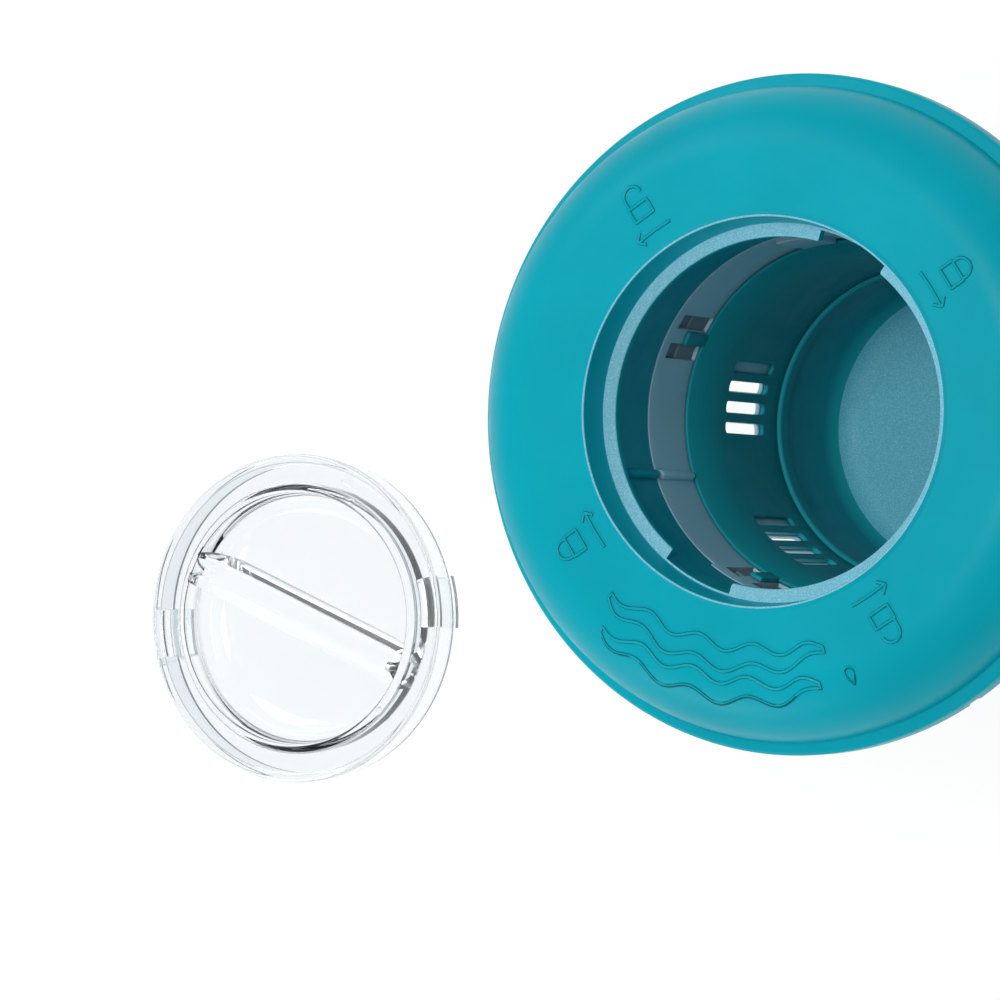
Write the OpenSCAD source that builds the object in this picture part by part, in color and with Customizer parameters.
// Floating chlorine dispenser: a sealed ring float with a bayonet mouth, a
// dosing sleeve fixed under it, a slotted tablet cage that turns inside the
// sleeve, and a clear twist-lock lid lying beside it.
// +Z is the axis of the float, pointing out of the mouth. The origin is on
// that axis, on the underside of the cup, where the dispenser stands.

/* [Float] */
// Largest radius of the float, at its rim
float_r = 82.5; // [80:0.5:86]
// Height of the mouth's lip above the underside of the cup
mouth_z = 145; // [140:0.5:150]
// Wall of the two float mouldings
shell_t = 2; // [1.6:0.1:2.4]
// Radius at which the flat top starts to round over
flat_r = 62; // [58:0.5:66]
// Depth from the lip to the step above the rim
step_depth = 18.4; // [16:0.2:21]
// Depth of the lower float moulding, from the seam to its underside
dish_depth = 17; // [14:0.5:19]

/* [Mouth] */
// Radius of the round seat that the lid drops into, at the lip
seat_r = 46.5; // [46.2:0.1:47]
// Depth of the seat, from the lip to the bayonet flange
seat_depth = 9.2; // [8.8:0.1:10]
// Inner radius of the bayonet flange
flange_r = 42.3; // [41.8:0.1:42.6]
// Thickness of the bayonet flange
flange_t = 2.5; // [2:0.1:2.8]
// Angle about Z of the first of the two gaps in the flange
gap_angle = 62.5; // [55:0.5:70]
// Width of each gap in the flange, in degrees
gap_width = 24; // [22:0.5:26]
// Inner radius of the skirt under the flange
skirt_r = 45.1; // [44.9:0.1:45.3]
// Depth from the lip to the lower edge of the skirt
skirt_depth = 34.1; // [33:0.1:35]

/* [Dosing] */
// Angle from the first group of slots to the second, in each half
group_angle = 57.5; // [50:0.5:64]
// Slots in a group
slots_per_group = 4; // [3:1:4]
// Angle from one slot to the next in a group
slot_pitch = 7.3; // [7:0.1:7.6]
// Width of a slot
slot_w = 2.9; // [2.4:0.1:3.2]
// Length of a slot
slot_l = 24; // [20:0.5:26]
// Depth from the lip to the top of the slots
slot_depth = 72.5; // [71:0.5:76]
// Angle about Z of the first slot of the first cage group
first_slot = 159.3; // [150:0.1:170]

/* [Cage] */
// Inner radius of the tablet cage
cage_r = 41; // [40.6:0.1:41.2]
// Wall of the cage
cage_t = 1.2; // [1:0.1:1.9]
// Wall of the dosing sleeve
sleeve_t = 1.2; // [1:0.1:1.6]
// Depth from the lip to the top of the cage
cage_depth = 54.8; // [54:0.1:56]
// Height of the top of the cup above its underside
cup_h = 40.5; // [38:0.5:43]
// Radius of the rounding between the cup's wall and its floor
cup_round = 8; // [5:0.5:10]

/* [Lid] */
// Outer radius of the lid
lid_r = 45.9; // [45.4:0.1:46]
// Height of the lid's skirt
lid_skirt_h = 10; // [9:0.1:10]
// Radius of the grip recess
recess_r = 35.4; // [33:0.2:36]
// Depth of the grip recess
recess_depth = 12.5; // [10:0.1:12.5]
// Radius of the rounding between the recess's wall and its floor
bowl_round = 9; // [2:0.5:9]
// Thickness of the grip fin at its top
fin_t = 2.6; // [2:0.1:4]
// Place of the lid on the floor, along X
lid_x = -199; // [-230:1:-180]
// Place of the lid on the floor, along Y
lid_y = -50; // [-80:1:0]
// Turn of the grip fin about Z
lid_turn = -24; // [-90:1:90]

/* [Hidden] */
$fn = 128;

teal = "#12a5b4";
grey_blue = "#7f9fae";
clear = [0.92, 0.96, 0.97, 0.45];

eps = 0.01;
run = 0.3;                                 // clearance between turning pieces
face_z = mouth_z - 0.4;                    // flat top, just under the lip
lip_round = 0.45;
lip_w = 1.2;                               // from the seat to the flat top
seat_draft = 0.9;                          // the seat narrows towards the flange
step_z = mouth_z - step_depth;             // top of the rim
shoulder_r = float_r - 3.3;                // shoulder, where it meets the rim
rim_round = 1;
rim_wall = 1.6;
rim_h = 7.6;
rim_z = step_z - rim_h;                    // lower edge of the rim
seam_z = step_z - 2.6;                     // weld between the two mouldings
seat_z = mouth_z - seat_depth;             // top of the bayonet flange
flange_z = seat_z - flange_t;              // underside of the bayonet flange
skirt_z = mouth_z - skirt_depth;           // lower edge of the skirt
skirt_out_r = skirt_r + 1.9;
neck_r = skirt_out_r + 0.1;                // bore of the lower moulding's neck
neck_out_r = neck_r + 2.2;
neck_z = skirt_z - 18.9;
cage_out_r = cage_r + cage_t;
sleeve_r = cage_out_r + run;               // bore of the dosing sleeve
sleeve_out_r = sleeve_r + sleeve_t;
collar_r = 45;                             // bore of the sleeve's collar
collar_out_r = neck_r - 0.2;
collar_z = skirt_z - 0.3;                  // top of the collar, under the skirt
raised_z = collar_z + 2.4;                 // where its edge stands higher
raised_half = 9.3;                         // half the raised edge, in degrees
cage_top_z = mouth_z - cage_depth;
shoulder_z = cage_top_z - 10;              // ledge that carries the cage
socket_r = collar_r + 1.6;                 // outside of the sleeve round the ledge
sleeve_end_z = cup_h + 0.5;
slot_top_z = mouth_z - slot_depth;
group_angles = [0, group_angle, 180, 180 + group_angle];
rib_angle = 198;                           // index rib down the inside
rib_r = 1.2;
rib_in = 0.5;                              // its axis, inside the skirt or collar
rib_top_z = mouth_z - 16.3;
block_in_r = collar_r - 1.4;               // inner face of the stop blocks
block_from = 30.5;                         // stop block, from the gap's middle
block_to = 41.5;
arm_from = 31;                             // arm that runs up from the block
arm_to = 35.5;
window_angles = [0, 90, 180, 270];         // pairs of windows, from the gap
window_offset = 5;                         // middle of a window, from its pair
window_w = 5;
window_depths = [0.9, 1.5];                // lower part, upper part
window_top_z = mouth_z - 38.4;
divider_z = window_top_z - 7.6;
spigot_r = cage_r - 1.4;                   // ridge where the cup enters the cage
joint_z = cup_h - 6;                       // lower end of the cage
ridge_h = 4.8;                             // of the spigot that shows inside
base_z = 4;                                // floor of the cup
base_hollow = 0.8;
ribs = 24;
rib_len = 20;
lid_h = recess_depth + 2;
lid_wall = 2;
lid_draft = 0.5;                           // the skirt narrows downwards
lug_turn = 30;                             // bayonet lugs, from the grip fin
lug_w = 19;                                // width of a lug, in degrees
leg_t = 2.1;
mark_r = 58;
mark_h = 0.3;                              // raised marks stand this proud
open_mark = 60;                            // padlocks, from the gap's middle
closed_mark = -30;

// Points of an elliptical arc from angle a0 to a1
function arc(cx, cz, rx, rz, a0, a1, n = 12) =
    [for (i = [0:n]) let (a = a0 + (a1 - a0) * i / n)
        [cx + rx * cos(a), cz + rz * sin(a)]];

// A block bent round the axis, from angle a0 to a1
module sector(r0, r1, z0, z1, a0, a1) {
    rotate([0, 0, a0]) rotate_extrude(angle = a1 - a0)
        translate([r0, z0]) square([r1 - r0, z1 - z0]);
}

// Outline of a padlock; the shackle of an open one is swung up on one leg
module padlock(is_open) {
    line = 0.8;
    body_w = 6.4;
    body_h = 4.6;
    bow = 2;
    leg = 1.2;
    rise = is_open ? 1.4 : 0;
    leg_y = body_h / 2 - 0.1;
    difference() {
        square([body_w, body_h], center = true);
        square([body_w - 2 * line, body_h - 2 * line], center = true);
    }
    translate([0, leg_y + leg - 0.1 + rise]) difference() {
        circle(r = bow + line, $fn = 40);
        circle(r = bow, $fn = 40);
        translate([-4, -8]) square([8, 8]);
    }
    translate([-bow - line, leg_y]) square([line, leg + rise]);
    if (!is_open)
        translate([bow, leg_y]) square([line, leg]);
}

// Raised padlocks: the lid's pointer stands at an open one to lift the lid
// out and turns 90 degrees clockwise to a closed one
module padlock_marks() {
    root = 0.2;
    for (side = [0, 180], mark = [[open_mark, true], [closed_mark, false]])
        rotate([0, 0, gap_angle + mark[0] + side])
            translate([mark_r, 0, face_z - root]) rotate([0, 0, -90])
                linear_extrude(root + mark_h) padlock(mark[1]);
}

module float_top_shell() {
    inner_w = shoulder_r - shell_t;
    dome_h = face_z - step_z;
    notch_angle = 303;
    notch_w = 3;
    notch_h = 1.6;
    profile = concat(
        // lid seat, lip and flat top
        [[seat_r - seat_draft, seat_z]],
        arc(seat_r + lip_round, mouth_z - lip_round, lip_round, lip_round, 180, 70, 8),
        [[seat_r + lip_w, face_z]],
        // rounded shoulder, step and rim
        arc(flat_r, step_z, shoulder_r - flat_r, dome_h, 90, 0, 20),
        [[shoulder_r, step_z - 0.3], [float_r - rim_round, step_z - 0.7]],
        arc(float_r - rim_round, step_z - 0.7 - rim_round, rim_round, rim_round, 90, 0, 6),
        [[float_r, rim_z], [float_r - rim_wall, rim_z],
         [float_r - rim_wall, seam_z], [inner_w, seam_z]],
        // inside of the dome and outside of the seat and skirt
        arc(flat_r, step_z, inner_w - flat_r, dome_h - shell_t, 0, 90, 20),
        [[seat_r + shell_t, face_z - shell_t], [seat_r + shell_t, flange_z],
         [skirt_out_r, flange_z], [skirt_out_r, skirt_z], [skirt_r, skirt_z],
         // bayonet flange
         [skirt_r, flange_z], [flange_r, flange_z],
         [flange_r, seat_z - 0.4], [flange_r + 0.4, seat_z]]);
    color(teal) union() {
        difference() {
            rotate_extrude() polygon(profile);
            for (side = [0, 180]) {
                middle = gap_angle + side;
                sector(flange_r - 2, skirt_r, flange_z - 1, seat_z + 1,
                       middle - gap_width / 2, middle + gap_width / 2);
                // notches that the raised edges of the collar rise into
                sector(skirt_r - 1, skirt_out_r + 0.5, skirt_z - 1, raised_z + 0.2,
                       middle - raised_half - 0.2, middle + raised_half + 0.2);
            }
            // pry notch in the lower edge of the rim
            rotate([0, 0, notch_angle])
                translate([float_r - rim_wall / 2, -notch_w / 2, rim_z - 1])
                    cube([2, notch_w, 1 + notch_h]);
        }
        padlock_marks();
        // upper part of the index rib, clear of the lid's feet
        rotate([0, 0, rib_angle]) translate([skirt_r - rib_in, 0, skirt_z + 0.4])
            cylinder(r = rib_r, h = rib_top_z - skirt_z - 0.4);
    }
}

module float_bottom_shell() {
    rim_in_r = float_r - rim_wall - 0.2;
    dish_z = seam_z - 2;
    dish_out_w = shoulder_r + 0.3 - flat_r;
    neck_top_z = flange_z - 3;
    neck_wall = 1.6;
    neck_round = 1.5;
    edge = 0.6;
    floor_z = dish_z - dish_depth;
    profile = concat(
        [[rim_in_r, seam_z], [rim_in_r, dish_z]],
        arc(flat_r, dish_z, dish_out_w, dish_depth, 0, -90, 20),
        [[neck_out_r + neck_round, floor_z]],
        arc(neck_out_r + neck_round, floor_z - neck_round,
            neck_round, neck_round, 90, 180, 6),
        [[neck_out_r, neck_z + edge], [neck_out_r - edge, neck_z], [neck_r, neck_z],
         [neck_r, neck_top_z], [neck_r + neck_wall, neck_top_z],
         [neck_r + neck_wall, floor_z + shell_t]],
        arc(flat_r, dish_z, dish_out_w - shell_t, dish_depth - shell_t, -90, 0, 20),
        [[flat_r + dish_out_w - shell_t, seam_z]]);
    color(teal) rotate_extrude() polygon(profile);
}

// Rounded outline of a slot, its length along X
module slot_outline() {
    corner = 0.9;
    square([slot_l - 2 * corner, slot_w], center = true);
    square([slot_l, slot_w - 2 * corner], center = true);
    for (x = [-1, 1], y = [-1, 1])
        translate([x * (slot_l / 2 - corner), y * (slot_w / 2 - corner)])
            circle(r = corner, $fn = 32);
}

// Slots side by side, cut straight out through the wall
module slot_group(start, r0, r1) {
    for (i = [0:slots_per_group - 1])
        rotate([0, 0, start + i * slot_pitch])
            translate([r0, 0, slot_top_z - slot_l / 2]) rotate([0, 90, 0])
                linear_extrude(r1 - r0) slot_outline();
}

module all_slots(turn, r0, r1) {
    for (a = group_angles)
        slot_group(first_slot + turn + a, r0, r1);
}

// Pair of blind windows beside each plain strip of the collar, deeper at the top
module collar_windows() {
    low_r = collar_r + window_depths[0];
    high_r = collar_r + window_depths[1];
    outline = [[collar_r - 1, cage_top_z - 1], [low_r, cage_top_z - 1],
               [low_r, divider_z], [high_r, divider_z],
               [high_r, window_top_z], [collar_r - 1, window_top_z]];
    for (a = window_angles, e = [-1, 1])
        rotate([0, 0, gap_angle + a + e * window_offset - window_w / 2])
            rotate_extrude(angle = window_w) polygon(outline);
}

module dosing_sleeve() {
    rim_bottom_z = neck_z - 7;
    edge = 0.6;
    profile = [
        [collar_r, shoulder_z], [collar_r, raised_z], [collar_out_r, raised_z],
        [collar_out_r, neck_z], [neck_out_r - edge, neck_z],
        [neck_out_r, neck_z - edge], [neck_out_r, rim_bottom_z + 2],
        [neck_out_r - edge, rim_bottom_z + 1], [socket_r, rim_bottom_z],
        [socket_r, shoulder_z - 1.6], [sleeve_out_r, shoulder_z - 3],
        [sleeve_out_r, sleeve_end_z + 0.5], [sleeve_out_r - 0.5, sleeve_end_z],
        [sleeve_r, sleeve_end_z], [sleeve_r, shoulder_z]];
    color(grey_blue) difference() {
        union() {
            difference() {
                rotate_extrude() polygon(profile);
                // the collar's edge stays raised only below the two flange gaps
                for (side = [0, 180])
                    sector(collar_r - 1, collar_out_r + 1, collar_z, raised_z + 1,
                           gap_angle + side + raised_half,
                           gap_angle + side + 180 - raised_half);
            }
            for (side = [0, 180]) {
                middle = gap_angle + side;
                // stop block, with an arm up the inside of the skirt
                sector(block_in_r, collar_r + 0.5, cage_top_z + 2, collar_z,
                       middle + block_from, middle + block_to);
                sector(block_in_r + 0.2, collar_r - 0.1, collar_z - 3,
                       flange_z - 4, middle + arm_from, middle + arm_to);
            }
            // lower part of the index rib, with a rounded end
            rotate([0, 0, rib_angle])
                translate([collar_r - rib_in, 0, cage_top_z + rib_r + 0.3]) {
                    cylinder(r = rib_r, h = collar_z - cage_top_z - rib_r - 0.3);
                    sphere(r = rib_r, $fn = 40);
                }
        }
        collar_windows();
        all_slots(slot_pitch, sleeve_r - 2, sleeve_out_r + 2);
    }
}

module tablet_cage() {
    brim_r = collar_r - run;
    brim_z = shoulder_z + 0.2;
    lug_t = 1.1;
    lug_half = 2.2;
    lug_h = 10.6;
    profile = [
        // a long funnel from the brim down to the bore
        [cage_r, joint_z], [cage_r, cage_top_z - 14], [cage_r + 0.3, cage_top_z - 10],
        [cage_r + 1.2, cage_top_z - 5], [brim_r - 0.8, cage_top_z], [brim_r, cage_top_z - 0.6],
        [brim_r, brim_z], [cage_out_r, brim_z], [cage_out_r, joint_z]];
    color(teal) difference() {
        union() {
            rotate_extrude() polygon(profile);
            // upright lugs, one at the plain strip between each pair of windows
            for (a = window_angles)
                sector(brim_r - lug_t, brim_r, cage_top_z - 1, cage_top_z + lug_h,
                       gap_angle + a - lug_half, gap_angle + a + lug_half);
        }
        all_slots(0, cage_r - 2, cage_out_r + 2);
    }
}

// Cup under the cage; its spigot stands inside the cage and shows as a ridge
module bottom_cup() {
    wall_in_r = cage_r - 1;
    base_r = sleeve_out_r - 1.4;
    foot_w = 7.2;
    foot_round = 5;
    top_round = 0.8;
    cage_gap = 0.12;
    finger_r = 1;
    profile = concat(
        [[0, base_hollow], [base_r - foot_round - foot_w + 0.2, base_hollow],
         [base_r - foot_round - foot_w + 1, 0]],
        arc(base_r - foot_round, foot_round, foot_round, foot_round, -90, 0, 8),
        [[sleeve_out_r, joint_z - 4], [sleeve_out_r, cup_h], [cage_out_r + 0.2, cup_h],
         [cage_out_r + 0.2, joint_z], [cage_r - cage_gap, joint_z],
         [cage_r - cage_gap, cup_h - 1]],
        arc(spigot_r + top_round, cup_h - top_round, top_round, top_round, 45, 180, 6),
        [[spigot_r, cup_h - ridge_h], [wall_in_r, cup_h - ridge_h - 0.6]],
        arc(wall_in_r - cup_round, base_z + cup_round, cup_round, cup_round, 0, -90, 12),
        [[0, base_z]]);
    color(teal) union() {
        rotate_extrude() polygon(profile);
        // finger ribs round the outside, for turning the cage
        for (i = [0:ribs - 1])
            rotate([0, 0, i * 360 / ribs])
                translate([sleeve_out_r - 0.2 * finger_r, 0, joint_z - 16])
                    cylinder(r = finger_r, h = rib_len, $fn = 24);
    }
}

// Grip fin across the recess, with concave fillets where it meets the wall
module fin_outline() {
    fillet = 3.5;
    square([2 * recess_r + 1, fin_t], center = true);
    for (e = [-1, 1]) mirror([e < 0 ? 1 : 0, 0]) difference() {
        translate([recess_r - fillet, -fin_t / 2 - fillet])
            square([fillet + 0.5, fin_t + 2 * fillet]);
        for (s = [-1, 1])
            translate([recess_r - fillet - 0.2, s * (fin_t / 2 + fillet)])
                circle(r = fillet, $fn = 40);
    }
}

module lid_shape() {
    under_z = lid_h - lid_skirt_h;
    foot_top_z = under_z - flange_t - 0.2;
    hub_r = recess_r + lid_wall;
    low_r = lid_r - lid_draft;
    foot_round = 5;
    edge = 1.2;
    mouth_round = 1;
    pointer = [[3.4, 0], [0, 1.7], [0, -1.7]];
    profile = concat(
        [[0, 0], [hub_r - foot_round, 0]],
        arc(hub_r - foot_round, foot_round, foot_round, foot_round, -90, 0, 6),
        [[hub_r, lid_h - lid_wall], [lid_r - lid_wall, lid_h - lid_wall],
         [low_r - lid_wall, under_z], [low_r - 0.3, under_z], [low_r, under_z + 0.3]],
        arc(lid_r - edge, lid_h - edge, edge, edge, 0, 90, 8),
        arc(recess_r + mouth_round, lid_h - mouth_round, mouth_round, mouth_round,
            90, 180, 8),
        arc(recess_r - bowl_round, lid_wall + bowl_round, bowl_round, bowl_round,
            0, -90, 12),
        [[0, lid_wall]]);
    difference() {
        union() {
            rotate_extrude() polygon(profile);
            translate([0, 0, lid_wall - eps]) intersection() {
                linear_extrude(recess_depth - 0.3) fin_outline();
                cylinder(r = recess_r + 0.5, h = 3 * recess_depth);
            }
            for (side = [0, 180]) {
                a0 = lug_turn + side - lug_w / 2;
                a1 = lug_turn + side + lug_w / 2;
                // leg inside the flange, and the foot that turns under it
                sector(flange_r - 0.5 - leg_t, flange_r - 0.5, 0,
                       lid_h - lid_wall + eps, a0, a1);
                sector(flange_r - 0.6, skirt_r - 0.5, 0, foot_top_z, a0, a1);
            }
            // pointer on the rim, square to the fin
            rotate([0, 0, 90]) translate([lid_r - 5.2, 0, lid_h - 0.2])
                linear_extrude(0.2 + mark_h) polygon(pointer);
        }
        // windows over the feet, where the mould shuts off
        for (side = [0, 180])
            sector(flange_r, skirt_r - 0.6, lid_h - lid_wall - 1, lid_h + 1,
                   lug_turn + side - lug_w / 2 + 0.5, lug_turn + side + lug_w / 2 - 0.5);
    }
}

module lid() {
    color(clear) translate([lid_x, lid_y, 0]) rotate([0, 0, lid_turn]) lid_shape();
}

float_top_shell();
float_bottom_shell();
dosing_sleeve();
tablet_cage();
bottom_cup();
lid();
